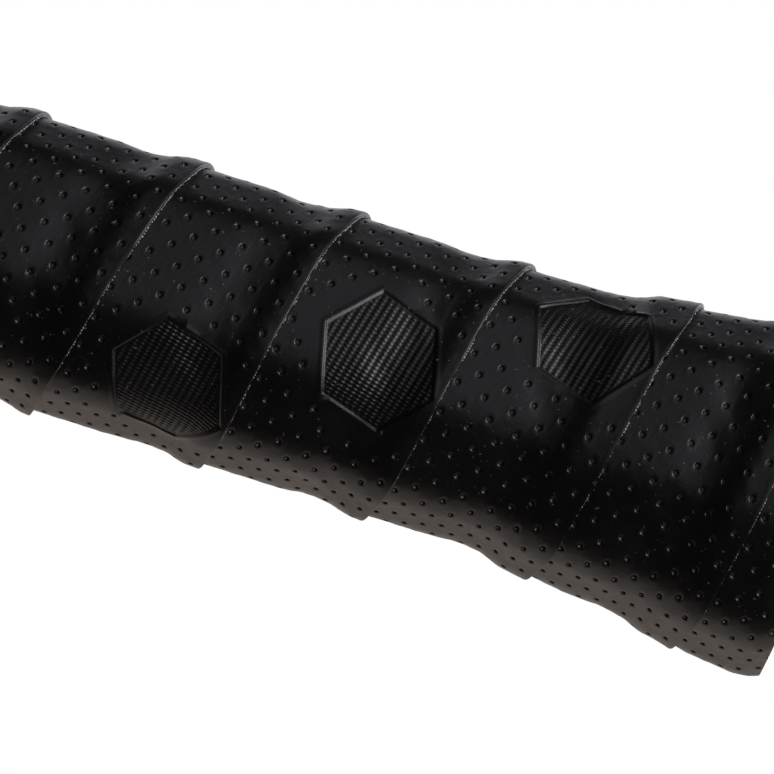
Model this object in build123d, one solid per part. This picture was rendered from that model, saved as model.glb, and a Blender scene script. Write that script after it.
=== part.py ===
from build123d import *
import os

# Racket handle wound with a cushioned base grip and a perforated overgrip, with the butt end
# at the right. Millimetres. +X runs along the handle and out of the butt, +Z is up, and the
# origin is the mouth of the cord hole, in the middle of the butt's end face.
# "s" below is a distance from that end face towards the racket's head, so x = -s.

# Lengths from the butt's end face
CAP_END_WALL = 8.0          # the shells and tubes start behind it
SHELL_END = 166.0
TUBE_END = 177.0
CAP_LENGTH = 28.0
FLARE_LENGTH = 34.0
BASE_GRIP_START = 1.0
BASE_GRIP_END = 136.0
OVERGRIP_START = 0.3
OVERGRIP_END = 120.0

# Sections: octagons with rounded corners, given by half the width across flats
FLATS = 8
SHELL_APOTHEM = 12.85
SHELL_CORNER = 3.5
CAP_APOTHEM = 16.6          # outside of the cap, at the butt's end face
CAP_CORNER = 4.5
CAP_RIM_ROUNDING = 0.8
TUBE_APOTHEM = 9.4          # the two tubes and the spacer between them fill this octagon
TUBE_CORNER = 2.5
TUBE_WALL = 1.4
SPACER_THICKNESS = 4.0
CORD_HOLE_RADIUS = 4.0

# Tapes
BASE_BACKING = 0.5
BASE_SKIN = 1.3
TAPE_WIDTH = 25.0
TAPE_PITCH = 20.0
OVERGRIP_TAPE = 0.65
OVERGRIP_SKIN_SHARE = 0.46
OVERGRIP = OVERGRIP_TAPE * TAPE_WIDTH / TAPE_PITCH     # overlapping turns, spread evenly
OVERGRIP_BACKING = OVERGRIP * (1 - OVERGRIP_SKIN_SHARE)
FINISHING_TAPE = 0.15
FINISHING_TAPE_WIDTH = 13.0
FINISHING_TAPE_LAP = 7.0    # how much of it lies on the tape that it holds down
FINISHING_TAPE_SLOPE = 1.1  # run over drop, where it bridges that tape's end
STARTER_TAB_START = 2.0
STARTER_TAB_LENGTH = 16.0
STARTER_TAB_WIDTH = 14.0
STARTER_TAB = 0.12

# Collar, which slides along the bare handle towards the head
COLLAR_START = 138.6
COLLAR_WIDTH = 12.0
COLLAR_CLEARANCE = 0.3
COLLAR_EDGE = 1.2           # wall thickness at the rims, on the beads and between them
COLLAR_BEAD = 2.1
COLLAR_WAIST = 1.5
COLLAR_BEAD_WIDTH = 2.2

# Staples and tack
STAPLE_POSITION = 21.0
STAPLE_WIRE = 0.9
STAPLE_CROWN = 10.0
STAPLE_TOP = 14.2
STAPLE_DEPTH = 4.6
TACK_POSITION = 5.0
TACK_HEAD_RADIUS = 2.2
TACK_HEAD = 0.5
TACK_SHANK_RADIUS = 0.7
TACK_LENGTH = 5.0
TACK_BELOW_SURFACE = 0.7

REACH = 100.0               # larger than the handle's section, for cutting


def section(s, apothem, corner):
    """Rounded octagon with a flat on top, square to the handle at s."""
    plane = Plane(origin=(-s, 0, 0), x_dir=(0, 1, 0), z_dir=(1, 0, 0))
    octagon = RegularPolygon(apothem, FLATS, major_radius=False, rotation=180 / FLATS)
    return plane * fillet(octagon.vertices(), corner)


def slab(start, end):
    """Everything between two distances from the butt."""
    return Pos(-(start + end) / 2, 0, 0) * Box(end - start, REACH, REACH)


def handle_form(grown, start, end):
    """The outside of cap and shells, flared at the butt, grown by a thickness."""
    flare = [
        section(0, CAP_APOTHEM + grown, CAP_CORNER + grown),
        section(FLARE_LENGTH, SHELL_APOTHEM + grown, SHELL_CORNER + grown),
        section(TUBE_END, SHELL_APOTHEM + grown, SHELL_CORNER + grown),
    ]
    return loft(flare, ruled=True) & slab(start, end)


def sleeve(inner, outer, start, end):
    """A layer between two growths of the handle form."""
    return handle_form(outer, start, end) - handle_form(inner, start, end)


def prism(apothem, corner, start, end):
    """A straight rounded octagon."""
    return extrude(section(end, apothem, corner), end - start)


def half_space(side, distance):
    """Everything beyond a distance from the middle plane, to side -1 or +1 along Y."""
    return Pos(0, side * (distance + REACH), 0) * Box(4 * REACH, 2 * REACH, REACH)


def tube_outline(side):
    """Solid outline of one D-shaped frame tube."""
    whole = prism(TUBE_APOTHEM, TUBE_CORNER, CAP_END_WALL, TUBE_END)
    return whole & half_space(side, SPACER_THICKNESS / 2)


def tube_filling(side):
    """Foam inside a frame tube."""
    inside = prism(TUBE_APOTHEM - TUBE_WALL, TUBE_CORNER - TUBE_WALL, CAP_END_WALL, TUBE_END)
    return inside & half_space(side, SPACER_THICKNESS / 2 + TUBE_WALL)


def frame_tube(side):
    """Carbon tube that runs on into the racket's frame."""
    return tube_outline(side) - tube_filling(side)


def leg_spacer():
    """Foam strip between the two tubes."""
    whole = prism(TUBE_APOTHEM, TUBE_CORNER, CAP_END_WALL, SHELL_END)
    return whole - half_space(-1, SPACER_THICKNESS / 2) - half_space(1, SPACER_THICKNESS / 2)


def handle_shell(side):
    """Upper (+1) or lower (-1) half of the moulded handle."""
    whole = prism(SHELL_APOTHEM, SHELL_CORNER, CAP_END_WALL, SHELL_END)
    whole -= prism(TUBE_APOTHEM, TUBE_CORNER, CAP_END_WALL, SHELL_END)
    half = Pos(0, 0, side * REACH) * Box(4 * REACH, REACH, 2 * REACH)
    return (whole & half) - staples()


def staple_form(side, crown_top):
    """One staple, its crown across the handle and its legs towards the axis."""
    crown_height = crown_top - STAPLE_TOP + STAPLE_WIRE
    crown_middle = crown_top - crown_height / 2
    form = Pos(-STAPLE_POSITION, 0, crown_middle) * Box(STAPLE_WIRE, STAPLE_CROWN, crown_height)
    leg_offset = (STAPLE_CROWN - STAPLE_WIRE) / 2
    for leg_side in (-1, 1):
        place = Pos(-STAPLE_POSITION, leg_side * leg_offset, STAPLE_TOP - STAPLE_DEPTH / 2)
        form += place * Box(STAPLE_WIRE, STAPLE_WIRE, STAPLE_DEPTH)
    return form if side > 0 else Rot(180, 0, 0) * form


def staples():
    """The two staples that hold the cap on the shells, top and bottom."""
    return Compound(children=[staple_form(side, STAPLE_TOP) for side in (-1, 1)])


def staple_slots():
    """The staples with the sunk slots above them."""
    return [staple_form(side, CAP_APOTHEM) for side in (-1, 1)]


def tack_top():
    """Distance of the tack's head from the axis."""
    flare = (CAP_APOTHEM - SHELL_APOTHEM) * (1 - TACK_POSITION / FLARE_LENGTH)
    return SHELL_APOTHEM + flare + BASE_BACKING + BASE_SKIN - TACK_BELOW_SURFACE


def tack_form(head_height):
    """Tack driven in at the far side, its head stretched outwards to head_height."""
    top = tack_top()
    across = Plane(origin=(-TACK_POSITION, top - TACK_HEAD, 0), x_dir=(1, 0, 0), z_dir=(0, 1, 0))
    head = extrude(across * Circle(TACK_HEAD_RADIUS), head_height)
    shank = extrude(across * Circle(TACK_SHANK_RADIUS), TACK_HEAD - TACK_LENGTH)
    return head + shank


def tack():
    """The tack that holds the base grip's start on the cap."""
    return tack_form(TACK_HEAD)


def tack_hole():
    """The tack with the dimple that its head presses into the base grip."""
    return tack_form(TACK_HEAD + BASE_SKIN)


def butt_cap():
    """Flared cap with an end wall, a cord hole and a skirt that goes over the shells."""
    cap = handle_form(0, 0, CAP_LENGTH)
    cap -= prism(SHELL_APOTHEM, SHELL_CORNER, CAP_END_WALL, CAP_LENGTH)
    cap = fillet(cap.faces().sort_by(Axis.X)[-1].outer_wire().edges(), CAP_RIM_ROUNDING)
    cap -= Rot(0, 90, 0) * Cylinder(CORD_HOLE_RADIUS, 4 * CAP_END_WALL)
    for slot in staple_slots():
        cap -= slot
    return cap - tack_hole()


def base_grip_backing():
    """Felt layer of the base grip, on the cap and the shells."""
    return sleeve(0, BASE_BACKING, BASE_GRIP_START, BASE_GRIP_END) - tack_hole()


def base_grip_skin():
    """Cushioned layer of the base grip."""
    outer = BASE_BACKING + BASE_SKIN
    return sleeve(BASE_BACKING, outer, BASE_GRIP_START, BASE_GRIP_END) - tack_hole()


def starter_tab():
    """Adhesive tab at the tape's start, stuck on top of the base grip near the butt."""
    base = BASE_BACKING + BASE_SKIN
    tab_end = STARTER_TAB_START + STARTER_TAB_WIDTH
    ring = sleeve(base, base + STARTER_TAB, STARTER_TAB_START, tab_end)
    patch = Pos(-STARTER_TAB_START - STARTER_TAB_WIDTH / 2, 0, REACH / 2)
    return ring & (patch * Box(REACH, STARTER_TAB_LENGTH, REACH))


def overgrip_backing():
    """Fibre layer of the overgrip, hollowed for the starter tab under it."""
    base = BASE_BACKING + BASE_SKIN
    layer = sleeve(base, base + OVERGRIP_BACKING, OVERGRIP_START, OVERGRIP_END)
    return layer - starter_tab()


def overgrip_skin():
    """Outer layer of the overgrip."""
    inner = BASE_BACKING + BASE_SKIN + OVERGRIP_BACKING
    outer = BASE_BACKING + BASE_SKIN + OVERGRIP
    return sleeve(inner, outer, OVERGRIP_START, OVERGRIP_END)


def tapered_form(profile, thickness):
    """Straight handle grown by a different amount at each distance from the butt."""
    rings = []
    for s, grown in profile:
        total = grown + thickness
        rings.append(section(s, SHELL_APOTHEM + total, SHELL_CORNER + total))
    return loft(rings, ruled=True)


def finishing_tape(held_top, held_base, held_end):
    """Band half on the end of a tape and half on what the tape lies on."""
    start = held_end - FINISHING_TAPE_LAP
    slope_end = held_end + FINISHING_TAPE_SLOPE * (held_top - held_base)
    profile = [
        (start, held_top),
        (held_end, held_top),
        (slope_end, held_base),
        (start + FINISHING_TAPE_WIDTH, held_base),
    ]
    return tapered_form(profile, FINISHING_TAPE) - tapered_form(profile, 0)


def collar():
    """Rubber collar with a bead round each rim."""
    inner = FINISHING_TAPE + COLLAR_CLEARANCE
    slope = COLLAR_BEAD - COLLAR_EDGE
    half_profile = [
        (0, COLLAR_EDGE),
        (slope / 2, COLLAR_BEAD),
        (COLLAR_BEAD_WIDTH - slope / 2, COLLAR_BEAD),
        (COLLAR_BEAD_WIDTH, COLLAR_WAIST),
    ]
    profile = half_profile + [(COLLAR_WIDTH - along, wall) for along, wall in half_profile[::-1]]
    outside = [(COLLAR_START + along, wall) for along, wall in profile]
    bore = prism(SHELL_APOTHEM + inner, SHELL_CORNER + inner, COLLAR_START, SHELL_END)
    return tapered_form(outside, inner) - bore


def parts():
    """Every node's name and solid."""
    base_grip = BASE_BACKING + BASE_SKIN
    return {
        "frame_tube_left": frame_tube(-1),
        "frame_tube_right": frame_tube(1),
        "tube_foam_left": tube_filling(-1),
        "tube_foam_right": tube_filling(1),
        "leg_spacer": leg_spacer(),
        "handle_shell_upper": handle_shell(1),
        "handle_shell_lower": handle_shell(-1),
        "butt_cap": butt_cap(),
        "butt_cap_staples": staples(),
        "base_grip_backing": base_grip_backing(),
        "base_grip_skin": base_grip_skin(),
        "base_grip_tack": tack(),
        "base_grip_finishing_tape": finishing_tape(base_grip, 0, BASE_GRIP_END),
        "overgrip_starter_tab": starter_tab(),
        "overgrip_backing": overgrip_backing(),
        "overgrip_skin": overgrip_skin(),
        "overgrip_finishing_tape": finishing_tape(base_grip + OVERGRIP, base_grip, OVERGRIP_END),
        "collar": collar(),
    }


os.makedirs("parts", exist_ok=True)
for node, solid in parts().items():
    export_step(solid, f"parts/{node}.step")
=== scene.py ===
import math

import bmesh
import bpy
import numpy as np
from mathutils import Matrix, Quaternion, Vector


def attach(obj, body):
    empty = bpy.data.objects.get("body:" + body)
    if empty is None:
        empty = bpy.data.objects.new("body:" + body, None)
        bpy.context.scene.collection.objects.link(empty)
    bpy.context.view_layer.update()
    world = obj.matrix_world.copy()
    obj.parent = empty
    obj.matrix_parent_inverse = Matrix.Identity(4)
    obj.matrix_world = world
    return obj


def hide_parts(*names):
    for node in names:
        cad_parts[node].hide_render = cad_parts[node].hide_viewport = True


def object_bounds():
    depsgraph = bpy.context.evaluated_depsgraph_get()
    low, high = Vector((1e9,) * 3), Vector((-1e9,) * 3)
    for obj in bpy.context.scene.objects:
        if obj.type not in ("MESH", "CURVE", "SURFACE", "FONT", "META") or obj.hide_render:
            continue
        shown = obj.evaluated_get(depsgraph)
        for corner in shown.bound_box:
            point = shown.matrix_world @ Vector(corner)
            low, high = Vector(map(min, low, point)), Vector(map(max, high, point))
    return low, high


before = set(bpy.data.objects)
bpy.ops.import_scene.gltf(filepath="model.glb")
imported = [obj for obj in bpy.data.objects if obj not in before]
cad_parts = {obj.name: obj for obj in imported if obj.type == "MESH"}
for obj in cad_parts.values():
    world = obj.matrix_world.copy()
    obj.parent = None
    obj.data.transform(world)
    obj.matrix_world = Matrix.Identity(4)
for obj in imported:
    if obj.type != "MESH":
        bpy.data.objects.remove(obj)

CAD_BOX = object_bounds()

# Sizes are in millimetres up to where a mesh is made, because that is how tape is sold and cut.
# "s" is a distance from the butt's end face towards the head, so x = -s. An angle round the
# handle is measured from its top flat towards the front, the side with the lower y.
MM = 0.001
TAU = 2 * math.pi
SEED = 7
random_source = np.random.default_rng(SEED)


# ---------------------------------------------------------------- the handle under the tape

GRIP_APOTHEM = 14.65        # outside of the base grip, half the width across flats
GRIP_CORNER = 5.3
FLARE_GROWTH = 3.75         # how much wider that is at the butt's end face
FLARE_CORNER_GROWTH = 1.0
FLARE_LENGTH = 34.0
FLARE_SOFTNESS = 2.0
CORNER_SOFTENING = 3.0      # the stretched tape rounds the handle's corners off by this much more
SOFTENING_END = 120.0       # where the wound tape is trimmed
SOFTENING_FADE = 2.0
BASE_GRIP = 1.8             # thickness of the base grip on the shells
BASE_GRIP_END = 136.0
EIGHTH = TAU / 8
TAN_HALF = math.tan(EIGHTH / 2)
COS_HALF = math.cos(EIGHTH / 2)


def flare(s):
    """0 on the straight handle, 1 at the butt's end face, with a soft start."""
    soft = FLARE_SOFTNESS * np.logaddexp(0, (FLARE_LENGTH - s) / FLARE_SOFTNESS)
    return soft / FLARE_LENGTH


def section_radius(apothem, corner, angle):
    """Distance from the axis to a rounded octagon with a flat on top."""
    from_flat = np.abs((angle + EIGHTH / 2) % EIGHTH - EIGHTH / 2)
    from_corner = EIGHTH / 2 - from_flat
    centre = (apothem - corner) / COS_HALF
    rounded = centre * np.cos(from_corner)
    rounded = rounded + np.sqrt(np.maximum(corner**2 - (centre * np.sin(from_corner)) ** 2, 0))
    on_flat = apothem * np.tan(from_flat) <= (apothem - corner) * TAN_HALF
    return np.where(on_flat, apothem / np.cos(from_flat), rounded)


def perimeter(s):
    """Length round the outside of the base grip."""
    corner = GRIP_CORNER + FLARE_CORNER_GROWTH * flare(s)
    apothem = GRIP_APOTHEM + FLARE_GROWTH * flare(s)
    return 16 * (apothem - corner) * TAN_HALF + TAU * corner


def on_handle(s, angle, height):
    """Points at a height above the flats of the base grip's outside, in metres."""
    apothem = GRIP_APOTHEM + FLARE_GROWTH * flare(s) + height
    softening = CORNER_SOFTENING * (1 - smooth((s - SOFTENING_END) / SOFTENING_FADE))
    corner = GRIP_CORNER + FLARE_CORNER_GROWTH * flare(s) + height + softening
    radius = section_radius(apothem, corner, angle)
    return np.stack([-s, -radius * np.sin(angle), radius * np.cos(angle)], -1) * MM


# ---------------------------------------------------------------- smooth random fields

def noise_field(cells_a, cells_b):
    """A function of two coordinates that wanders between -1 and 1 and repeats after the cells."""
    knots = random_source.uniform(-1, 1, (cells_a, cells_b))

    def field(a, b):
        ia, ib = np.floor(a).astype(int), np.floor(b).astype(int)
        fa, fb = smooth(a - ia), smooth(b - ib)
        ia, ib = ia % cells_a, ib % cells_b
        ja, jb = (ia + 1) % cells_a, (ib + 1) % cells_b
        near = knots[ia, ib] * (1 - fa) + knots[ja, ib] * fa
        far = knots[ia, jb] * (1 - fa) + knots[ja, jb] * fa
        return near * (1 - fb) + far * fb

    return field


def smooth(x):
    """0 below 0, 1 above 1, and a soft step between them."""
    x = np.clip(x, 0, 1)
    return x * x * (3 - 2 * x)


def bell(x, width):
    """1 at 0, falling off softly over a width."""
    return np.exp(-((x / width) ** 2))


SWELLS_ROUND = 9            # soft swellings in one turn, the same for every layer
swell = noise_field(SWELLS_ROUND, 64)
pucker = noise_field(128, 64)
ripple = noise_field(256, 2)
fray = noise_field(4096, 2)


# ---------------------------------------------------------------- how the tape is wound

TAPE_WIDTH = 23.5
TAPE_PITCH = 20.0
TAPE_BACKING = 0.17
TAPE_SKIN = 0.48
TAPE = TAPE_BACKING + TAPE_SKIN
TRIM_BUTT = 0.3             # the tape is trimmed level with the butt's rim
TRIM_HEAD = SOFTENING_END
TURN = perimeter(2 * TRIM_HEAD)     # one turn round the straight handle, unrolled
START = 0.108               # share of a turn by which the winding is ahead of the top flat
FIRST_TURN, LAST_TURN = -0.45, 7.15
LIFT = 0.25                 # of the tape off the flats of the base grip
TAPE_TILT = math.atan2(TAPE_PITCH, TURN)
TILTED_WIDTH = TAPE_WIDTH / math.cos(TAPE_TILT)
HAND_WOBBLE = [             # turn, and how far the edge strays there from an even winding
    (-0.4, 3.0),
    (0.1, 5.0),
    (0.6, 5.0),
    (1.05, 3.0),
    (1.2, 3.0),
    (1.9, 0.3),
    (2.15, 0.6),
    (2.9, 0.3),
    (4.1, 0.0),
    (4.25, -0.3),
    (4.95, -1.4),
    (5.2, 0.2),
    (5.9, -2.1),
]

TURNS_BEFORE, TURNS_AFTER, TURN_STEP = 1.6, 0.6, 1 / 720     # of the tables, in turns
TABLE_TURNS = np.arange(FIRST_TURN - TURNS_BEFORE, LAST_TURN + TURNS_AFTER, TURN_STEP)
table_angle = TABLE_TURNS * TAU
table_radius = section_radius(GRIP_APOTHEM, GRIP_CORNER, table_angle)
table_speed = np.hypot(table_radius, np.gradient(table_radius, table_angle))
table_round = np.cumsum(table_speed)
table_round = table_round - np.interp(0, TABLE_TURNS, table_round)
table_round = table_round * TURN / np.interp(1, TABLE_TURNS, table_round)


def edge(round_at):
    """s of the tape's butt-side edge, where the unrolled distance round is round_at."""
    turn = round_at / TURN
    stray = np.interp(turn, *np.transpose(HAND_WOBBLE))
    return TAPE_PITCH * (turn + START - 1) + stray


table_edge = edge(table_round)
table_scale = perimeter(table_edge + TAPE_WIDTH / 2) / TURN
table_length = np.cumsum(np.hypot(np.gradient(table_edge), np.gradient(table_round) * table_scale))
table_length -= np.interp(FIRST_TURN, TABLE_TURNS, table_length)
TAPE_END = float(np.interp(LAST_TURN, TABLE_TURNS, table_length))


def wound(along, across):
    """(s, unrolled distance round) of a place on the tape."""
    round_at = np.interp(along, table_length, table_round)
    s = edge(round_at) + across * math.cos(TAPE_TILT)
    scale = perimeter(s) / TURN
    return s, round_at - across * math.sin(TAPE_TILT) / scale


# The lap, by the distance past the edge of the turn underneath, which is at 0. This turn's own
# edge is about 4 before it.
FEATHER_START, FEATHER_END = -3.3, 0.0
DIP, DIP_AT, DIP_WIDTH = 0.27, 2.5, 2.4
SWELL, SWELL_LENGTH = 0.045, 9.0
PUCKER = 0.14               # creases that fan out from the lap
PUCKER_WIDTH, PUCKER_LENGTH = 2.9, 8.0
PUCKER_LEAN, PUCKER_SKEW = 0.9, 0.3
PUCKER_RISE = 2.0           # distance past the lap over which the creases come up
PUCKER_FALL_START, PUCKER_FALL = 3.0, 5.0
LIP, LIP_WIDTH = 0.10, 0.8  # the cut edge stands up a little
LIP_RIPPLE, LIP_RIPPLE_LENGTH = 0.07, 5.0
BUTT_LAP = 0.55             # the winding starts with a doubled turn at the butt's rim
BUTT_LAP_START, BUTT_LAP_END = 8.5, 13.5
RIM_ROUNDING, RIM_REACH = 0.9, 4.0      # where the tape turns in at the butt's rim
UNEVEN, UNEVEN_AT = 0.3, math.radians(110)      # the flare is fuller on one side
UNEVEN_START, UNEVEN_END = 22.0, 38.0
UNEVEN_ALL_ROUND = 1 / 3    # the share of it that goes all the way round


def feather(past):
    """Share of its thickness that the tape keeps near its head-side edge, which is at 0."""
    return 1 - smooth((past - FEATHER_START) / (FEATHER_END - FEATHER_START))


def tape_height(s, round_at, across):
    """Height of the tape's underside above the base grip."""
    past = s - edge(round_at - TURN) - TILTED_WIDTH
    height = LIFT + SWELL * swell(round_at / TURN * SWELLS_ROUND, s / SWELL_LENGTH)
    height = height + BUTT_LAP * (1 - smooth((s - BUTT_LAP_START) / (BUTT_LAP_END - BUTT_LAP_START)))
    fuller = UNEVEN * (UNEVEN_ALL_ROUND + np.cos(round_at / TURN * TAU - UNEVEN_AT))
    height = height + fuller * (1 - smooth((s - UNEVEN_START) / (UNEVEN_END - UNEVEN_START)))
    height = height - RIM_ROUNDING * np.maximum(1 - s / RIM_REACH, 0) ** 2
    height = height + TAPE * feather(past) - DIP * bell(past - DIP_AT, DIP_WIDTH)
    creased = smooth(past / PUCKER_RISE) * (1 - smooth((past - PUCKER_FALL_START) / PUCKER_FALL))
    across_creases = (round_at + PUCKER_LEAN * s) / PUCKER_WIDTH
    along_creases = (s - PUCKER_SKEW * round_at) / PUCKER_LENGTH
    height = height + PUCKER * creased * pucker(across_creases, along_creases)
    lip = LIP + LIP_RIPPLE * ripple(round_at / LIP_RIPPLE_LENGTH, 0 * s)
    return height + lip * np.exp(-across / LIP_WIDTH)


def tape_points(along, across, offset):
    """Points at an offset above the tape's underside, in metres."""
    s, round_at = wound(along, across)
    angle = np.interp(round_at, table_round, table_angle)
    thickness = offset * feather(across - TAPE_WIDTH)
    return on_handle(s, angle, tape_height(s, round_at, across) + thickness)


# ---------------------------------------------------------------- pressed patches on the tape

PATCH_SPACING = 107.5       # along the tape
PATCH_FIRST = 271.0
PATCHES = 3
PATCH_ACROSS = 8.0          # of its middle, from the butt-side edge
PATCH_WIDTH = 12.5
PATCH_HEIGHT = 16.0
PATCH_TILT = math.radians(26)
PATCH_SLANT = math.atan2(PATCH_HEIGHT / 4, PATCH_WIDTH / 2)     # of its four sloping sides
PATCH_DEPTH = 0.16
PATCH_WALL = 0.28           # width of the step down into it
PATCH_LIP = 0.06
PATCH_MARGIN = 0.7          # no holes nearer to the outline than this
RIB_PITCH = 0.8             # of the weave pressed into it
RIB_HEIGHT = 0.08
RIB_TILT = math.radians(-28)
STITCH = 0.46               # spacing of the stitches on a rib
RIB_SHARE, STITCH_SHARE, STITCH_ON_RIB = 0.4, 0.4, 0.2


def patch_place(along, across):
    """Position inside the nearest patch, along its own width and height."""
    number = np.clip(np.round((along - PATCH_FIRST) / PATCH_SPACING), 0, PATCHES - 1)
    da = along - PATCH_FIRST - number * PATCH_SPACING
    dc = across - PATCH_ACROSS
    c, s = math.cos(PATCH_TILT), math.sin(PATCH_TILT)
    return dc * c + da * s, da * c - dc * s


def patch_distance(along, across):
    """Distance outside the patch's outline, an upright six-sided lozenge; negative inside."""
    p, q = np.abs(patch_place(along, across))
    sloped = (q - PATCH_HEIGHT / 2) * math.cos(PATCH_SLANT) + p * math.sin(PATCH_SLANT)
    return np.maximum(p - PATCH_WIDTH / 2, sloped)


def patch_relief(along, across):
    """Height of the pressed patch: sunk and ribbed inside, with a soft lip round it."""
    outside = patch_distance(along, across)
    inside = smooth(-outside / PATCH_WALL)
    p, q = patch_place(along, across)
    c, s = math.cos(RIB_TILT), math.sin(RIB_TILT)
    rib = np.cos(TAU * (p * c + q * s) / RIB_PITCH)
    stitch = np.cos(TAU * (q * c - p * s) / STITCH)
    weave = RIB_SHARE * rib + (STITCH_SHARE + STITCH_ON_RIB * rib) * stitch
    ribs = RIB_HEIGHT * weave * smooth(-outside / PATCH_WALL - 1)
    return PATCH_LIP * bell(outside - PATCH_WALL / 2, PATCH_WALL) - PATCH_DEPTH * inside + ribs


# ---------------------------------------------------------------- the tape's two layers, flat

CELL_LENGTH = 3.7           # between holes along the tape
CELL_WIDTH = 1.73           # between rows of holes, which are staggered
ROWS = 13
HEM = (TAPE_WIDTH - ROWS * CELL_WIDTH) / 2
FINE = 20                   # fine steps across a cell, twice as many along it
HALF = FINE // 2
CORNERS = [                 # round a cell, in half cells along and across
    (2, -1), (2, 1), (1, 1), (0, 1), (-1, 1), (-2, 1), (-2, -1), (-1, -1), (0, -1), (1, -1),
]
RIM = [                     # rings round a hole: half sizes along and across, and height
    (0.98, 0.64, 0.0),
    (0.45, 0.43, 0.025),
    (0.37, 0.36, -0.015),
    (0.29, 0.28, -0.11),
    (0.22, 0.22, -0.24),
]
HOLE_JITTER = 0.04
LAYER_GAP = 0.02            # between the skin and the backing
HEM_PROFILE = [             # inset from the edge, and height, from the skin's outside down
    (0.15, 0.0),
    (0.04, -0.04),
    (0.0, -0.12),
    (0.0, -TAPE_SKIN + LAYER_GAP),
]
UNDER_LINES = [1.2, 2.5, 4.2, 5.2, 6.0, 6.8, 7.6, 8.6, 10.0, 12.5, 15.0, 17.5, 20.0, 22.5]
FRAY_STEP = 0.25
FRAY = 0.16                 # how far the backing's fibres stand out past the skin
FRAY_EVEN, FRAY_RAGGED, FRAY_LENGTH = 0.3, 0.7, 0.4


class Sheet:
    """Vertices and faces of a tape layer, in the tape's own coordinates."""

    def __init__(self):
        self.points, self.faces, self.slots, self.known = [], [], [], {}

    def add(self, along, across, offset):
        self.points.append((along, across, offset))
        return len(self.points) - 1

    def corner(self, i, j):
        """Vertex number of a corner of the fine lattice on the outside, made once."""
        if (i, j) not in self.known:
            along, across = lattice_place(i, j)
            self.known[i, j] = self.add(along, across, TAPE)
        return self.known[i, j]

    def face(self, corners, slot=0):
        self.faces.append(corners)
        self.slots.append(slot)

    def strip(self, lines):
        """Faces between each line of vertices and the next."""
        for line, following in zip(lines, lines[1:]):
            for k in range(len(line) - 1):
                self.face([line[k], line[k + 1], following[k + 1], following[k]])


def lattice_place(i, j):
    """Position on the flat tape of a corner of the fine lattice."""
    return i * CELL_LENGTH / (2 * FINE), HEM + j * CELL_WIDTH / FINE


def cell_kind(along, across):
    """plain where the next turn covers the tape, fine for a patch, else holed."""
    if across > TAPE_PITCH + CELL_WIDTH:
        return "plain"
    if patch_distance(along, across) < PATCH_MARGIN + CELL_WIDTH / 2:
        return "fine"
    return "holed"


def fine_cell(sheet, i, j):
    """A cell of small square faces, which can carry a pressed patch."""
    for a in range(i - FINE, i + FINE):
        for b in range(j - HALF, j + HALF):
            around = [(a, b), (a + 1, b), (a + 1, b + 1), (a, b + 1)]
            sheet.face([sheet.corner(*place) for place in around])


def cell_sides(sheet, i, j, fine_corners):
    """The vertices along each of a cell's ten sides, with those that a fine neighbour needs."""
    outline = [(i + a * HALF, j + b * HALF) for a, b in CORNERS]
    sides = []
    for start, end in zip(outline, outline[1:] + outline[:1]):
        steps = max(abs(end[0] - start[0]), abs(end[1] - start[1]))
        da, db = (end[0] - start[0]) // steps, (end[1] - start[1]) // steps
        places = [(start[0] + da * k, start[1] + db * k) for k in range(steps)]
        wanted = places[:1] + [place for place in places[1:] if place in fine_corners]
        sides.append([sheet.corner(*place) for place in wanted])
    return sides


def holed_cell(sheet, sides, i, j):
    """A cell with a pierced hole in its middle, its rim slightly raised."""
    along, across = lattice_place(i, j)
    along += random_source.uniform(-1, 1) * HOLE_JITTER
    across += random_source.uniform(-1, 1) * HOLE_JITTER
    count = len(sides)
    turns = [TAU * (k - 0.5) / count for k in range(count)]
    rings = []
    for half_along, half_across, height in RIM:
        places = [(along + half_along * math.cos(t), across + half_across * math.sin(t)) for t in turns]
        rings.append([sheet.add(*place, TAPE + height) for place in places])
    for k in range(count):
        following = (k + 1) % count
        sheet.face(sides[k] + [sides[following][0], rings[0][following], rings[0][k]])
        for outer, inner in zip(rings, rings[1:]):
            sheet.face([outer[k], outer[following], inner[following], inner[k]])
    sheet.face(rings[-1], 1)


def tape_skin_sheet():
    """The perforated skin: its cells, and round them the hems and the underside."""
    sheet = Sheet()
    columns = int(TAPE_END / CELL_LENGTH)
    cells = []
    fine_corners = set()
    for row in range(ROWS):
        for column in range(columns):
            i = (2 * column + 1 + row % 2) * FINE
            j = row * FINE + HALF
            kind = cell_kind(*lattice_place(i, j))
            cells.append((kind, i, j))
            if kind == "fine":
                fine_corners.update((i + a, j + b) for a in range(-FINE, FINE + 1) for b in (-HALF, HALF))
                fine_corners.update((i + a, j + b) for a in (-FINE, FINE) for b in range(-HALF, HALF + 1))
    for kind, i, j in cells:
        if kind == "fine":
            fine_cell(sheet, i, j)
            continue
        sides = cell_sides(sheet, i, j, fine_corners)
        if kind == "holed":
            holed_cell(sheet, sides, i, j)
        else:
            sheet.face([corner for side in sides for corner in side])

    stations = range(2 * FINE, (columns - 1) * 2 * FINE + 1, HALF)

    def line(across, offset):
        return [sheet.add(lattice_place(i, 0)[0], across, offset) for i in stations]

    near_hem = [line(inset, TAPE + height) for inset, height in HEM_PROFILE]
    far_hem = [line(TAPE_WIDTH - inset, TAPE + height) for inset, height in HEM_PROFILE]
    under = [line(across, TAPE_BACKING + LAYER_GAP) for across in UNDER_LINES]
    first = [sheet.known[i, 0] for i in stations]
    last = [sheet.known[i, ROWS * FINE] for i in stations]
    sheet.strip([first] + near_hem + under + far_hem[::-1] + [last])
    return sheet


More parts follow.
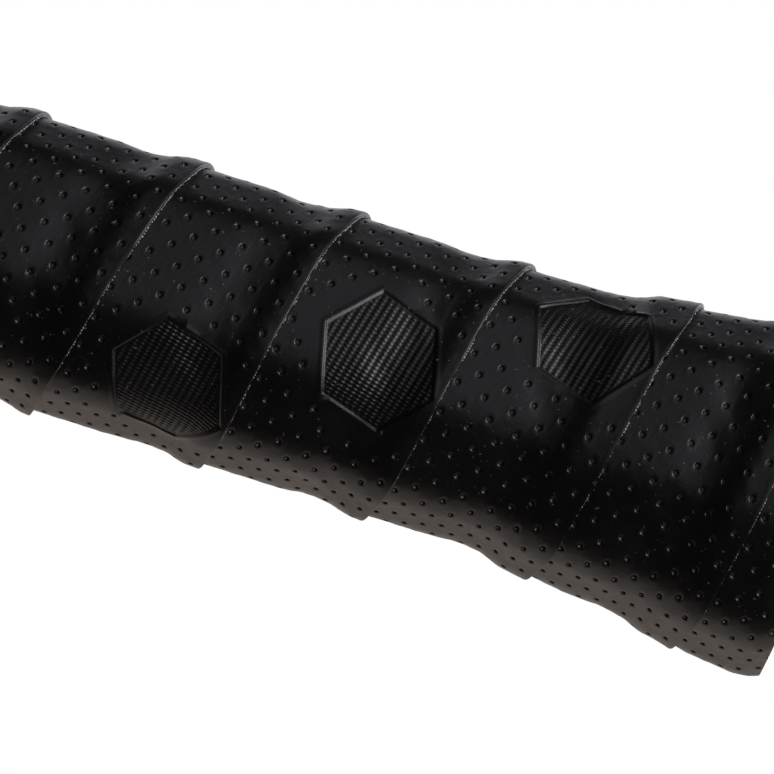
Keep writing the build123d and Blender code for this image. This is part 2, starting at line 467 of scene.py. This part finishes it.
def tape_backing_sheet():
    """The fibre backing: a plain strip whose frayed edges just show past the skin."""
    sheet = Sheet()
    stations = np.arange(CELL_LENGTH, TAPE_END - CELL_LENGTH, FRAY_STEP)
    lines = []
    for offset, order in ((TAPE_BACKING, 1), (0.0, -1)):
        for across in ([0.0] + UNDER_LINES + [TAPE_WIDTH])[::order]:
            outwards = (across == TAPE_WIDTH) - (across == 0.0)
            ragged = fray(stations / FRAY_LENGTH, 0 * stations + outwards)
            out = FRAY * (FRAY_EVEN + FRAY_RAGGED * ragged)
            lines.append([sheet.add(a, across + o, offset) for a, o in zip(stations, outwards * out)])
    sheet.strip(lines + lines[:1])
    return sheet


# ---------------------------------------------------------------- meshes

SHARP_ANGLE = math.radians(50)
FLAT_MAP = "flat_tape"      # each corner's place on the flat tape, in millimetres
CUT_MERGE, ON_CUT = 1e-8, 1e-7      # in metres
OUTSIDE_TOLERANCE = 0.01


def mesh_object(name, points, faces, material):
    """A smooth-shaded object from points in metres."""
    mesh = bpy.data.meshes.new(name)
    mesh.from_pydata(points, [], faces)
    mesh.materials.append(material)
    mesh.polygons.foreach_set("use_smooth", [True] * len(faces))
    obj = bpy.data.objects.new(name, mesh)
    bpy.context.scene.collection.objects.link(obj)
    return obj


def finish_mesh(obj, cuts=()):
    """Cuts a mesh at distances from the butt, closes the cuts, and marks its sharp edges."""
    bm = bmesh.new()
    bm.from_mesh(obj.data)
    for distance, outwards in cuts:
        bmesh.ops.bisect_plane(
            bm,
            geom=bm.verts[:] + bm.edges[:] + bm.faces[:],
            dist=CUT_MERGE,
            plane_co=(-distance * MM, 0, 0),
            plane_no=(outwards, 0, 0),
            clear_outer=True,
        )
        on_plane = [v for v in bm.verts if abs(v.co.x + distance * MM) < ON_CUT]
        rim = {e for v in on_plane for e in v.link_edges if e.is_boundary}
        closed = bmesh.ops.holes_fill(bm, edges=list(rim), sides=0)["faces"]
        bmesh.ops.triangulate(bm, faces=closed)
    bmesh.ops.recalc_face_normals(bm, faces=bm.faces[:])
    for e in bm.edges:
        e.smooth = e.calc_face_angle(math.pi) < SHARP_ANGLE
    bm.to_mesh(obj.data)
    bm.free()


def wound_tape(name, sheet, material, floor_material=None):
    """A tape layer wound on the handle and trimmed at both ends."""
    flat = np.array(sheet.points)
    along, across, offset = flat.T
    outside = offset > TAPE - OUTSIDE_TOLERANCE
    offset = offset + np.where(outside, patch_relief(along, across), 0)
    obj = mesh_object(name, tape_points(along, across, offset), sheet.faces, material)
    if floor_material is not None:
        obj.data.materials.append(floor_material)
        obj.data.polygons.foreach_set("material_index", sheet.slots)
    corners = np.empty(len(obj.data.loops), dtype=np.int32)
    obj.data.loops.foreach_get("vertex_index", corners)
    layer = obj.data.uv_layers.new(name=FLAT_MAP)
    layer.data.foreach_set("uv", flat[corners, :2].astype(np.float32).ravel())
    finish_mesh(obj, cuts=((TRIM_BUTT, 1), (TRIM_HEAD, -1)))
    return obj


# ---------------------------------------------------------------- finishing tapes

OVERGRIP_BAND_START, OVERGRIP_BAND_TURN = 113.0, 0.36
BASE_BAND_START, BASE_BAND_TURN = 129.0, 0.61
BAND_WIDTH = 13.0
BAND = 0.15                 # its thickness
BAND_LIFT = 0.03
BAND_TURNS = 1.12           # it laps over its own start
BAND_DRIFT = 0.5            # how far it creeps along the handle in a turn
BAND_STEP = 0.25
BAND_GRID = 1440            # places round the handle at which its height is worked out
BAND_RAMP = 1.0             # over its own start
BAND_LAP = 1.15             # height of the lap, in its own thickness
BAND_WAVER, BAND_WAVERS = 0.12, 9       # of its edges along the handle, in a turn
BAND_ROUNDING, BAND_ROUNDING_WIDTH = 0.04, 0.15
BAND_BEFORE, BAND_AFTER = 2.0, 2.5      # how far past its sides the height is worked out
# (axis, grid steps to each side): where it bridges the hollows, then where it is smoothed
BAND_BRIDGING = ((1, 2), (0, 6))
BAND_SMOOTHING = ((1, 1), (1, 2), (0, 7), (0, 7))


def wound_top(s, angle):
    """Height above the base grip of the top of the wound tape, or of what lies beyond it."""
    top = np.where(s < BASE_GRIP_END, 0.0, -BASE_GRIP)
    for turn in range(math.floor(FIRST_TURN), math.ceil(LAST_TURN) + 1):
        round_at = np.interp(angle + turn * TAU, table_angle, table_round, left=math.nan, right=math.nan)
        across = (s - edge(round_at)) * math.cos(TAPE_TILT)
        here = (across > 0) & (across < TAPE_WIDTH) & (s < TRIM_HEAD)
        height = TAPE + tape_height(s, np.nan_to_num(round_at), across)
        top = np.where(here, np.fmax(top, height), top)
    return top


def draped_over(start):
    """A function of (s, angle): the height of a stretched band on what is underneath."""
    places = np.arange(start - BAND_BEFORE, start + BAND_WIDTH + BAND_AFTER, BAND_STEP)
    angles = np.arange(BAND_GRID) * TAU / BAND_GRID
    grid = wound_top(*np.meshgrid(places, angles))
    for reaches, combined in ((BAND_BRIDGING, np.max), (BAND_SMOOTHING, np.mean)):
        for axis, reach in reaches:
            grid = combined([np.roll(grid, k, axis) for k in range(-reach, reach + 1)], 0)

    def height(s, angle):
        a = angle % TAU / TAU * BAND_GRID
        b = np.clip((s - places[0]) / BAND_STEP, 0, len(places) - 2)
        ia, ib = np.floor(a).astype(int), np.floor(b).astype(int)
        fa, fb = a - ia, b - ib
        ia, ja = ia % BAND_GRID, (ia + 1) % BAND_GRID
        near = grid[ia, ib] * (1 - fa) + grid[ja, ib] * fa
        far = grid[ia, ib + 1] * (1 - fa) + grid[ja, ib + 1] * fa
        return near * (1 - fb) + far * fb

    return height


def finishing_tape(name, start, from_turn, material):
    """A closed strip of stretched vinyl, a little over one turn long."""
    drape = draped_over(start)
    along = np.arange(0, BAND_TURNS * BAND_GRID // 2 + 1) / (BAND_GRID // 2)
    across = np.linspace(0, BAND_WIDTH, int(BAND_WIDTH / BAND_STEP) + 1)
    along, across = np.meshgrid(along, across, indexing="ij")
    angle = (along + from_turn) * TAU
    s = start + across + BAND_DRIFT * (along - BAND_TURNS / 2)
    s = s + BAND_WAVER * ripple(along * BAND_WAVERS + start, 0 * along)
    lap = BAND * BAND_LAP * smooth((along - 1) * TURN / BAND_RAMP + 1)
    under = drape(s, angle) + BAND_LIFT + lap
    near, far = bell(across, BAND_ROUNDING_WIDTH), bell(across - BAND_WIDTH, BAND_ROUNDING_WIDTH)
    edge_rounding = BAND_ROUNDING * (near + far)
    top = on_handle(s, angle, under + BAND - edge_rounding).reshape(-1, 3)
    bottom = on_handle(s, angle, under).reshape(-1, 3)
    rows, columns = along.shape
    number = np.arange(rows * columns).reshape(rows, columns)
    quads = np.stack([number[:-1, :-1], number[1:, :-1], number[1:, 1:], number[:-1, 1:]], -1)
    quads = quads.reshape(-1, 4)
    ring = np.concatenate([number[0, :-1], number[:-1, -1], number[-1, :0:-1], number[:0:-1, 0]])
    following = np.roll(ring, -1)
    under_by = rows * columns
    sides = np.stack([ring, following, following + under_by, ring + under_by], -1)
    faces = np.concatenate([quads, quads[:, ::-1] + under_by, sides]).tolist()
    obj = mesh_object(name, np.concatenate([top, bottom]), faces, material)
    finish_mesh(obj)
    return obj


# ---------------------------------------------------------------- materials

class Shading:
    """A new material's node tree, with short ways to add to it."""

    def __init__(self, name):
        self.material = bpy.data.materials.new(name)
        self.material.use_nodes = True
        self.nodes = self.material.node_tree.nodes
        self.links = self.material.node_tree.links
        self.shader = self.nodes["Principled BSDF"]
        self.place = self.nodes.new("ShaderNodeTexCoord").outputs["Object"]
        self.normal = None

    def feed(self, socket, value):
        """Sets a socket to a number or colour, or links it."""
        if isinstance(value, bpy.types.NodeSocket):
            self.links.new(value, socket)
        elif isinstance(value, tuple) and socket.type == "RGBA":
            socket.default_value = (*value, 1)
        else:
            socket.default_value = value

    def set(self, **values):
        """Feeds the shader's inputs, named with _ for a space."""
        for name, value in values.items():
            self.feed(self.shader.inputs[name.replace("_", " ")], value)

    def noise(self, scale, detail=3.0, roughness=0.5, place=None):
        """Noise, 0 to 1, with about this many features in a metre."""
        node = self.nodes.new("ShaderNodeTexNoise")
        self.feed(node.inputs["Vector"], place or self.place)
        self.feed(node.inputs["Scale"], scale)
        self.feed(node.inputs["Detail"], detail)
        self.feed(node.inputs["Roughness"], roughness)
        return node.outputs["Fac"]

    def stretched(self, rotation, scale):
        """The position, turned and stretched."""
        node = self.nodes.new("ShaderNodeMapping")
        self.feed(node.inputs["Vector"], self.place)
        self.feed(node.inputs["Rotation"], rotation)
        self.feed(node.inputs["Scale"], scale)
        return node.outputs["Vector"]

    def spread(self, value, low, high, to_low=0.0, to_high=1.0):
        """Maps a range of a value to another range."""
        node = self.nodes.new("ShaderNodeMapRange")
        for name, given in zip(("Value", "From Min", "From Max", "To Min", "To Max"),
                               (value, low, high, to_low, to_high)):
            self.feed(node.inputs[name], given)
        return node.outputs["Result"]

    def math(self, operation, a, b=0.0):
        node = self.nodes.new("ShaderNodeMath")
        node.operation = operation
        self.feed(node.inputs[0], a)
        self.feed(node.inputs[1], b)
        return node.outputs[0]

    def mix(self, factor, first, second):
        """A colour between two."""
        node = self.nodes.new("ShaderNodeMix")
        node.data_type = "RGBA"
        self.feed(node.inputs["Factor"], factor)
        first_socket, second_socket = [s for s in node.inputs if s.type == "RGBA"]
        self.feed(first_socket, first)
        self.feed(second_socket, second)
        return next(s for s in node.outputs if s.type == "RGBA")

    def split(self, vector):
        """A vector's three parts."""
        node = self.nodes.new("ShaderNodeSeparateXYZ")
        self.feed(node.inputs[0], vector)
        return list(node.outputs)

    def bump(self, height, depth, strength=1.0):
        """A bump of a depth in metres, on top of those added before."""
        node = self.nodes.new("ShaderNodeBump")
        self.feed(node.inputs["Height"], height)
        self.feed(node.inputs["Distance"], depth)
        self.feed(node.inputs["Strength"], strength)
        if self.normal:
            self.feed(node.inputs["Normal"], self.normal)
        self.normal = node.outputs["Normal"]
        self.feed(self.shader.inputs["Normal"], self.normal)


def tape_skin():
    """Satin black polyurethane with a fine leather grain, scuffs and specks of dust."""
    made = Shading("tape_skin")
    cloud = made.noise(150, 4, 0.6)
    grain = made.noise(3200, 3, 0.6)
    leather = made.noise(900, 4, 0.65)
    specks = made.spread(made.noise(2300, 1, 0.4), 0.735, 0.78)
    scuffs = made.noise(350, 5, 0.75, made.stretched((0.35, 0.2, 0.5), (1, 8, 1)))
    scuffed = made.spread(scuffs, 0.58, 0.82)
    dust = made.math("MAXIMUM", specks, made.math("MULTIPLY", scuffed, 0.12))
    made.set(
        Base_Color=made.mix(dust, (0.0032, 0.0026, 0.0028), (0.060, 0.059, 0.062)),
        Roughness=made.math("ADD", made.spread(cloud, 0.3, 0.7, 0.31, 0.39),
                            made.math("MULTIPLY", dust, 0.4)),
        Specular_IOR_Level=0.5,
    )
    made.bump(leather, 0.00006, 0.5)
    made.bump(grain, 0.00002, 0.6)
    made.bump(scuffs, 0.00004, 0.4)
    return made.material


def hole_floor():
    """The dark bottom of a pierced hole."""
    made = Shading("hole_floor")
    grain = made.noise(3000)
    made.set(
        Base_Color=made.mix(grain, (0.004, 0.0036, 0.0036), (0.04, 0.038, 0.038)),
        Roughness=0.7,
        Specular_IOR_Level=0.3,
    )
    made.bump(grain, 0.00005)
    return made.material


def fibre(name, dark, light, scale):
    """Matt non-woven fibre, flecked between two greys."""
    made = Shading(name)
    flecks = made.noise(scale, 4, 0.7)
    threads = made.noise(scale / 2, 3, 0.6, made.stretched((0.4, 0.3, 0.8), (1, 9, 1)))
    both = made.math("MULTIPLY", made.math("ADD", flecks, threads), 0.5)
    made.set(
        Base_Color=made.mix(made.spread(both, 0.40, 0.62), dark, light),
        Roughness=0.92,
        Sheen_Weight=0.3,
    )
    made.bump(both, 0.0001, 0.8)
    return made.material


THREAD = 0.38               # spacing in mm of the backing's cross threads


def tape_fibre():
    """The overgrip's backing: pale cross threads with dark gaps, which dot its cut edges."""
    made = Shading("tape_fibre")
    flat = made.nodes.new("ShaderNodeUVMap")
    flat.uv_map = FLAT_MAP
    along, across, _ = made.split(flat.outputs["UV"])
    flecks = made.noise(2600, 4, 0.7)
    wander = made.math("MULTIPLY", made.noise(500), 9.0)
    phase = made.math("ADD", made.math("MULTIPLY", along, TAU / THREAD), wander)
    crossing = made.math("SINE", phase)
    weft = made.math("SINE", made.math("MULTIPLY", across, TAU / THREAD))
    raised = made.math("MAXIMUM", crossing, made.math("MULTIPLY", weft, 0.35))
    both = made.math("ADD", raised, made.spread(flecks, 0.35, 0.65, -0.6, 0.6))
    made.set(
        Base_Color=made.mix(made.spread(both, -0.3, 0.9), (0.006, 0.006, 0.006), (0.42, 0.41, 0.40)),
        Roughness=0.92,
    )
    made.bump(both, 0.00005, 0.8)
    return made.material


BLOTCHES = 90               # in a metre, of a moulded piece's uneven gloss


def moulded(name, colour, lighter, roughness, grain, depth):
    """A moulded plastic, rubber or foam with a fine grain and slightly uneven gloss."""
    made = Shading(name)
    fine = made.noise(grain, 3, 0.6)
    blotch = made.noise(BLOTCHES, 4, 0.6)
    mottled = made.math("MULTIPLY", made.math("ADD", fine, blotch), 0.5)
    made.set(
        Base_Color=made.mix(made.spread(mottled, 0.35, 0.65), colour, lighter),
        Roughness=made.spread(blotch, 0.3, 0.7, *roughness),
    )
    made.bump(fine, depth, 0.7)
    made.bump(blotch, 2 * depth, 0.3)
    return made.material


TOW = 0.0016                # width of one tow of the carbon cloth


def carbon():
    """Satin carbon composite, a two-by-two twill under clear resin."""
    made = Shading("carbon")
    x, y, z = made.split(made.place)
    lengthwise = made.math("DIVIDE", x, TOW)
    sideways = made.math("DIVIDE", made.math("ADD", y, z), TOW)
    step = made.math("ADD", made.math("FLOOR", lengthwise), made.math("FLOOR", sideways))
    over = made.math("LESS_THAN", made.math("FLOORED_MODULO", step, 4.0), 1.5)
    fibres = made.noise(5000, 2)
    made.set(
        Base_Color=made.mix(over, (0.009, 0.009, 0.010), (0.034, 0.034, 0.036)),
        Roughness=made.spread(fibres, 0.3, 0.7, 0.3, 0.42),
        Coat_Weight=0.35,
        Coat_Roughness=0.12,
    )
    made.bump(over, 0.00003, 0.5)
    made.bump(fibres, 0.00001, 0.5)
    return made.material


def steel():
    """Drawn steel wire."""
    made = Shading("steel")
    scratches = made.noise(4000)
    made.set(
        Metallic=1.0,
        Base_Color=made.mix(scratches, (0.42, 0.42, 0.43), (0.62, 0.62, 0.63)),
        Roughness=made.spread(scratches, 0.3, 0.7, 0.25, 0.42),
    )
    made.bump(scratches, 0.00001)
    return made.material


MATERIALS = {
    "carbon": carbon(),
    "filling_foam": moulded("filling_foam", (0.45, 0.38, 0.24), (0.68, 0.62, 0.46),
                            (0.85, 0.95), 1400, 0.0003),
    "moulded_foam": moulded("moulded_foam", (0.030, 0.030, 0.032), (0.060, 0.060, 0.064),
                            (0.55, 0.75), 1500, 0.00012),
    "cap_plastic": moulded("cap_plastic", (0.011, 0.011, 0.012), (0.020, 0.020, 0.021),
                           (0.40, 0.55), 2400, 0.00005),
    "steel": steel(),
    "felt": fibre("felt", (0.05, 0.05, 0.052), (0.16, 0.16, 0.165), 1500),
    "base_grip_skin": moulded("base_grip_skin", (0.008, 0.008, 0.0085), (0.016, 0.016, 0.017),
                              (0.42, 0.55), 1300, 0.00008),
    "vinyl_tape": moulded("vinyl_tape", (0.0085, 0.0085, 0.009), (0.013, 0.013, 0.014),
                          (0.24, 0.36), 600, 0.00004),
    "paper_tab": fibre("paper_tab", (0.55, 0.54, 0.50), (0.72, 0.71, 0.67), 1800),
    "tape_fibre": tape_fibre(),
    "tape_skin": tape_skin(),
    "collar_rubber": moulded("collar_rubber", (0.010, 0.010, 0.010), (0.018, 0.018, 0.018),
                             (0.50, 0.65), 2200, 0.00006),
}
NODE_SLOTS = {
    "frame_tube_left": "carbon",
    "frame_tube_right": "carbon",
    "tube_foam_left": "filling_foam",
    "tube_foam_right": "filling_foam",
    "leg_spacer": "filling_foam",
    "handle_shell_upper": "moulded_foam",
    "handle_shell_lower": "moulded_foam",
    "butt_cap": "cap_plastic",
    "butt_cap_staples": "steel",
    "base_grip_backing": "felt",
    "base_grip_skin": "base_grip_skin",
    "base_grip_tack": "steel",
    "overgrip_starter_tab": "paper_tab",
    "collar": "collar_rubber",
}


# ---------------------------------------------------------------- the pieces

def dress_cad_nodes():
    """Gives each CAD node that stays its own material."""
    for node, slot in NODE_SLOTS.items():
        for material_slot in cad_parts[node].material_slots:
            material_slot.material = MATERIALS[slot]


def add_piece(piece, node):
    """Rides a piece on the handle in a CAD node's place."""
    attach(piece, "handle")
    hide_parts(node)


def overgrip():
    """The two layers of the wound tape."""
    used = float(np.interp(TRIM_HEAD - TAPE_WIDTH / 2, table_edge, table_length))
    used -= float(np.interp(TRIM_BUTT - TAPE_WIDTH / 2, table_edge, table_length))
    skin = wound_tape("wound_tape_skin", tape_skin_sheet(), MATERIALS["tape_skin"], hole_floor())
    backing = wound_tape("wound_tape_backing", tape_backing_sheet(), MATERIALS["tape_fibre"])
    add_piece(skin, "overgrip_skin")
    add_piece(backing, "overgrip_backing")


def finishing_tapes():
    """The bands that hold down the ends of the overgrip and of the base grip."""
    vinyl = MATERIALS["vinyl_tape"]
    over = finishing_tape("finishing_tape_over_overgrip", OVERGRIP_BAND_START, OVERGRIP_BAND_TURN, vinyl)
    add_piece(over, "overgrip_finishing_tape")
    base = finishing_tape("finishing_tape_over_base_grip", BASE_BAND_START, BASE_BAND_TURN, vinyl)
    add_piece(base, "base_grip_finishing_tape")


dress_cad_nodes()
overgrip()
finishing_tapes()


# ---------------------------------------------------------------- floor, light and camera

FLOOR_SIZE = 6.0
FLOOR_GAP = 0.0004
WHITE = 1.0
BOUNCE_NEAR, BOUNCE_FAR = 0.55, 0.02        # light that the floor gives, under and beside the handle
BOUNCE_FROM, BOUNCE_TO = 0.045, 0.085       # distance from its middle over which it falls off
BOUNCE_MIDDLE = -0.010      # in y
BOUNCE_TINT, BACK_TINT = (1.0, 0.87, 0.79), (0.97, 0.93, 1.0)
BACK_GAIN = 2.0             # the floor gives more light behind the handle
BACK_FROM, BACK_TO = -0.01, 0.02        # in y, where that comes in
SURROUNDINGS = (0.014, 0.011, 0.011)
VIEW_AZIMUTH, VIEW_ELEVATION = math.radians(5.06), math.radians(70.1)
VIEW_ROLL = math.radians(12.74)
VIEW_TARGET = Vector((-0.0504, 0.0, -0.00428))
VIEW_DISTANCE = 0.60
SENSOR = 36.0
LENS = 244.1


def camera_or(tree, seen, otherwise):
    """One shader for camera rays and another for the light that the stage gives."""
    path = tree.nodes.new("ShaderNodeLightPath")
    mixed = tree.nodes.new("ShaderNodeMixShader")
    tree.links.new(path.outputs["Is Camera Ray"], mixed.inputs["Fac"])
    tree.links.new(otherwise.outputs[0], mixed.inputs[1])
    tree.links.new(seen.outputs[0], mixed.inputs[2])
    return mixed.outputs[0]


def floor():
    """A white floor that glows. To the camera it is plain white. To the handle it gives a painted bounce
    light from below, most strongly near by.
    """
    made = Shading("floor")
    tree = made.material.node_tree
    _, y, _ = made.split(made.place)
    # painted bounce light: an emission that is strongest beside the handle and falls off away from it,
    # warm in front and brighter and cooler behind
    bounce = made.nodes.new("ShaderNodeEmission")
    off = made.math("ABSOLUTE", made.math("SUBTRACT", y, BOUNCE_MIDDLE))
    strength = made.spread(off, BOUNCE_FROM, BOUNCE_TO, BOUNCE_NEAR, BOUNCE_FAR)
    behind = made.spread(y, BACK_FROM, BACK_TO)
    gain = made.spread(behind, 0.0, 1.0, 1.0, BACK_GAIN)
    made.feed(bounce.inputs["Strength"], made.math("MULTIPLY", strength, gain))
    made.feed(bounce.inputs["Color"], made.mix(behind, BOUNCE_TINT, BACK_TINT))
    white = made.nodes.new("ShaderNodeEmission")
    made.feed(white.inputs["Strength"], WHITE)
    output = made.nodes["Material Output"]
    made.links.new(camera_or(tree, white, bounce), output.inputs["Surface"])
    low = CAD_BOX[0][2] - FLOOR_GAP
    reach = FLOOR_SIZE / 2
    corners = [(x * reach, y * reach, 0) for x, y in ((-1, -1), (1, -1), (1, 1), (-1, 1))]
    sheet = mesh_object("floor", corners, [(0, 1, 2, 3)], made.material)
    sheet.location.z = low


def surroundings():
    """White to the camera, dim to the handle."""
    world = bpy.data.worlds.new("studio")
    world.use_nodes = True
    bpy.context.scene.world = world
    tree = world.node_tree
    dim = tree.nodes["Background"]
    dim.inputs["Color"].default_value = (*SURROUNDINGS, 1)
    white = tree.nodes.new("ShaderNodeBackground")
    white.inputs["Color"].default_value = (1, 1, 1, 1)
    white.inputs["Strength"].default_value = WHITE
    output = tree.nodes["World Output"]
    tree.links.new(camera_or(tree, white, dim), output.inputs["Surface"])


def soft_light(name, place, size, brightness, tint):
    """A rectangular soft light, its second side along y, of a brightness as seen from the handle."""
    light = bpy.data.lights.new(name, "AREA")
    light.shape = "RECTANGLE"
    light.size, light.size_y = size
    light.energy = brightness * math.pi * size[0] * size[1]
    light.color = tint
    lamp = bpy.data.objects.new(name, light)
    lamp.location = place
    lamp.rotation_euler = (0, math.atan2(place[0] - VIEW_TARGET.x, place[2]), 0)
    bpy.context.scene.collection.objects.link(lamp)


def camera():
    """The camera, looking steeply down at the handle's front from near its butt end."""
    lens = bpy.data.cameras.new("camera")
    lens.lens = LENS
    lens.sensor_width = SENSOR
    eye = bpy.data.objects.new("camera", lens)
    level = math.cos(VIEW_ELEVATION)
    back = Vector((math.sin(VIEW_AZIMUTH) * level, -math.cos(VIEW_AZIMUTH) * level,
                   math.sin(VIEW_ELEVATION)))
    eye.location = VIEW_TARGET + back * VIEW_DISTANCE
    turned = back.to_track_quat("Z", "Y") @ Quaternion((0, 0, 1), VIEW_ROLL)
    eye.rotation_euler = turned.to_euler()
    bpy.context.scene.collection.objects.link(eye)
    bpy.context.scene.camera = eye


floor()
surroundings()
soft_light("overhead", place=(0.0, 0.75, 0.75), size=(0.50, 2.60), brightness=0.34,
           tint=(0.86, 0.93, 1.0))
soft_light("butt_side", place=(0.38, 0.13, 0.40), size=(0.33, 0.92), brightness=5.8,
           tint=(0.95, 0.97, 1.0))
camera()
bpy.context.scene.view_settings.view_transform = "Standard"
